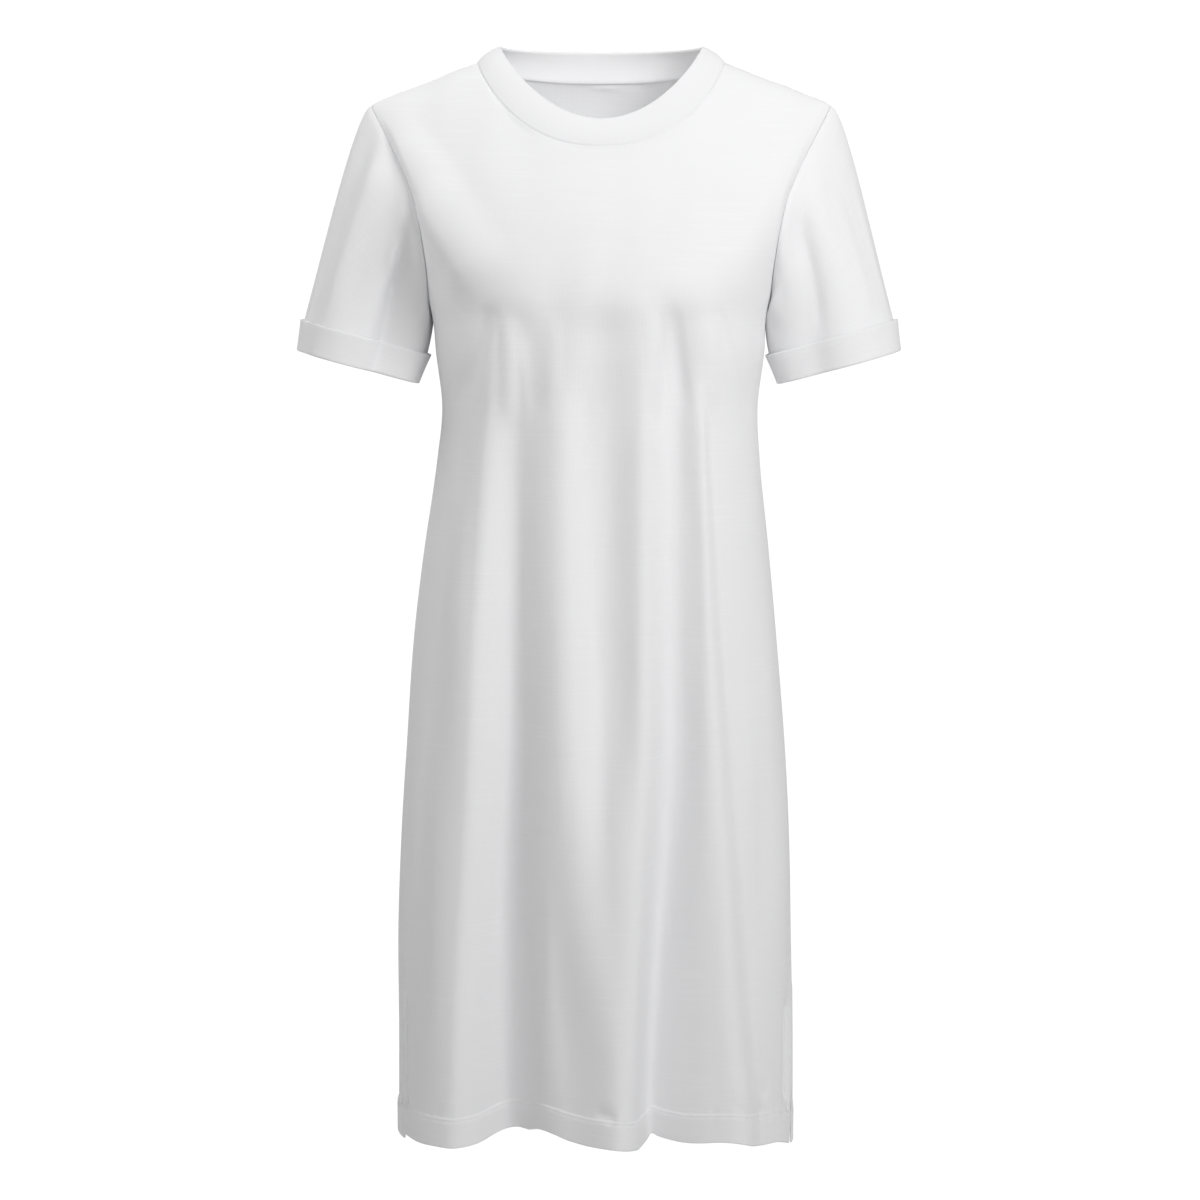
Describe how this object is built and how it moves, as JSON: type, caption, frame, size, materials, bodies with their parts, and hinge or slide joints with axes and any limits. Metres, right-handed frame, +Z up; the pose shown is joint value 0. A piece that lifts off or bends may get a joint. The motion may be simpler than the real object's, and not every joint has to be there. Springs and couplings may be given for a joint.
{
  "type": "t-shirt dress",
  "caption": "Knee-length short-sleeved crew-neck jersey dress with turned-up cuffs and side slits, hollow as worn.",
  "frame": {"origin": "midway between the tops of the two shoulder seams beside the neckband, at the height where the wearer's shoulders hold the dress", "axes": "+Z up, the front faces -Y, +X to the right as the dress is seen from the front; nodes are named left and right as seen from the front"},
  "size_m": [0.5232, 0.265, 0.9475],
  "materials": {
    "jersey": "matt slub cotton single jersey",
    "band_jersey": "matt folded cotton jersey"
  },
  "bodies": {
    "root": {"front": "jersey", "back": "jersey", "sleeve_left": "jersey", "sleeve_right": "jersey", "cuff_left": "jersey", "cuff_right": "jersey", "neckband": "band_jersey"}
  },
  "joints": []
}
